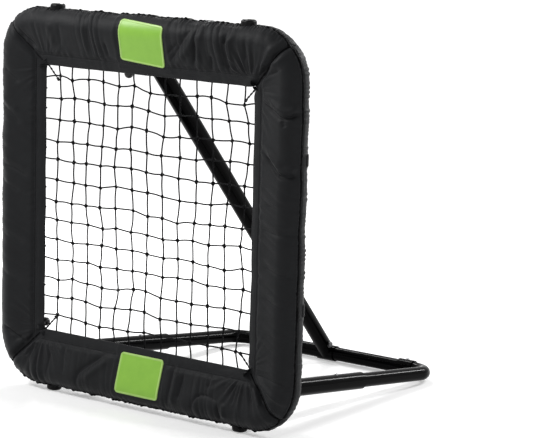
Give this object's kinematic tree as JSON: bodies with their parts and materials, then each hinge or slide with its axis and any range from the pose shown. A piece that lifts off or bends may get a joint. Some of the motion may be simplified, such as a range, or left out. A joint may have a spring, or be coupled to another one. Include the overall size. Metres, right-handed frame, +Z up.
{
  "type": "rebounder net",
  "caption": "Square padded ball rebounder with a knotted net, on a U-shaped tube stand with one telescoping rear strut that sets the tilt.",
  "frame": {"origin": "on the floor at the centre of the footprint, midway between the front of the padded frame and the back of the crossbar", "axes": "+X to the right seen by the player, along the crossbar; -Y towards the player, +Y to the stand; +Z up"},
  "size_m": [0.841, 0.7258, 0.86],
  "materials": {
    "nylon_cover": "woven nylon with a soft sheen",
    "webbing": "ribbed webbing",
    "foam": "closed-cell foam",
    "net_twine": "knotted twine",
    "black_elastic": "braided elastic cord",
    "ball_plastic": "moulded ball",
    "green_patch": "satin rubber",
    "frame_steel": "powder coat",
    "black_steel": "gloss powder coat",
    "bracket_steel": "satin powder coat",
    "zinc_steel": "zinc plated",
    "button_steel": "plated spring steel",
    "moulded_black": "moulded plastic"
  },
  "bodies": {
    "base": {"crossbar": "black_steel", "leg_upper_left": "black_steel", "leg_upper_right": "black_steel", "leg_lower_left": "black_steel", "leg_lower_right": "black_steel", "leg_plug_left": "moulded_black", "leg_plug_right": "moulded_black"},
    "net_frame": {"frame_tube_top": "frame_steel", "frame_tube_right": "frame_steel", "frame_tube_bottom": "frame_steel", "frame_tube_left": "frame_steel", "frame_corner_top_right": "frame_steel", "frame_corner_bottom_right": "frame_steel", "frame_corner_bottom_left": "frame_steel", "frame_corner_top_left": "frame_steel", "frame_screws": "zinc_steel", "foam_top": "foam", "foam_right": "foam", "foam_bottom": "foam", "foam_left": "foam", "foam_corners": "foam", "cover_top": "nylon_cover", "cover_right": "nylon_cover", "cover_bottom": "nylon_cover", "cover_left": "nylon_cover", "cover_drawcord": "black_elastic", "cover_straps": "webbing", "patch_top": "green_patch", "patch_bottom": "green_patch", "net": "net_twine", "net_rope": "net_twine", "bungee_loops": "black_elastic", "bungee_balls": "ball_plastic", "corner_ties": "black_elastic", "foot_bottom_right": "moulded_black", "foot_bottom_left": "moulded_black", "foot_top_right": "moulded_black", "foot_top_left": "moulded_black", "foot_screws": "zinc_steel", "hinge_bracket_right": "bracket_steel", "hinge_bracket_left": "bracket_steel", "hinge_bolts": "zinc_steel", "hinge_nuts": "zinc_steel", "strut_bracket": "bracket_steel", "strut_bolt": "zinc_steel", "strut_nut": "zinc_steel"},
    "strut_lower": {"strut_sleeve": "black_steel", "strut_lower_tube": "black_steel", "strut_foot_bolt": "zinc_steel", "strut_foot_nut": "zinc_steel"},
    "strut_upper": {"strut_upper_tube": "black_steel", "strut_top_plug": "moulded_black"},
    "strut_button": {"strut_button": "button_steel"},
    "leg_button_left": {"leg_button_left": "button_steel"},
    "leg_button_right": {"leg_button_right": "button_steel"},
    "crossbar_button_left": {"crossbar_button_left": "button_steel"},
    "crossbar_button_right": {"crossbar_button_right": "button_steel"}
  },
  "joints": [
    {"name": "frame_tilt", "type": "hinge", "parent": "base", "child": "net_frame", "pos_m": [0, -0.31495, 0.083], "axis": [-1, 0, 0], "range_deg": [0, 26]},
    {"name": "strut_swing", "type": "hinge", "parent": "base", "child": "strut_lower", "pos_m": [-0.014, 0.34395, 0.019], "axis": [-1, 0, 0], "range_deg": [0, 13.7]},
    {"name": "strut_slide", "type": "slide", "parent": "strut_lower", "child": "strut_upper", "axis": [0, 0.6575, -0.7534], "range_m": [0, 0.2262]},
    {"name": "strut_button_press", "type": "slide", "parent": "strut_upper", "child": "strut_button", "axis": [0, -0.7534, -0.6575], "range_m": [0, 0.003], "stiffness_N_per_m": 600, "springref_m": -0.004},
    {"name": "leg_button_left_press", "type": "slide", "parent": "base", "child": "leg_button_left", "axis": [0, -0.0967, -0.9953], "range_m": [0, 0.003], "stiffness_N_per_m": 600, "springref_m": -0.004},
    {"name": "leg_button_right_press", "type": "slide", "parent": "base", "child": "leg_button_right", "axis": [0, -0.0967, -0.9953], "range_m": [0, 0.003], "stiffness_N_per_m": 600, "springref_m": -0.004},
    {"name": "crossbar_button_left_press", "type": "slide", "parent": "base", "child": "crossbar_button_left", "axis": [0, -0.0967, -0.9953], "range_m": [0, 0.003], "stiffness_N_per_m": 600, "springref_m": -0.004},
    {"name": "crossbar_button_right_press", "type": "slide", "parent": "base", "child": "crossbar_button_right", "axis": [0, -0.0967, -0.9953], "range_m": [0, 0.003], "stiffness_N_per_m": 600, "springref_m": -0.004}
  ],
  "couplings": [
    {"joint": "strut_swing", "follows": "frame_tilt", "ratio": 0.52405},
    {"joint": "strut_slide", "follows": "frame_tilt", "m_per_rad": 0.49823}
  ]
}
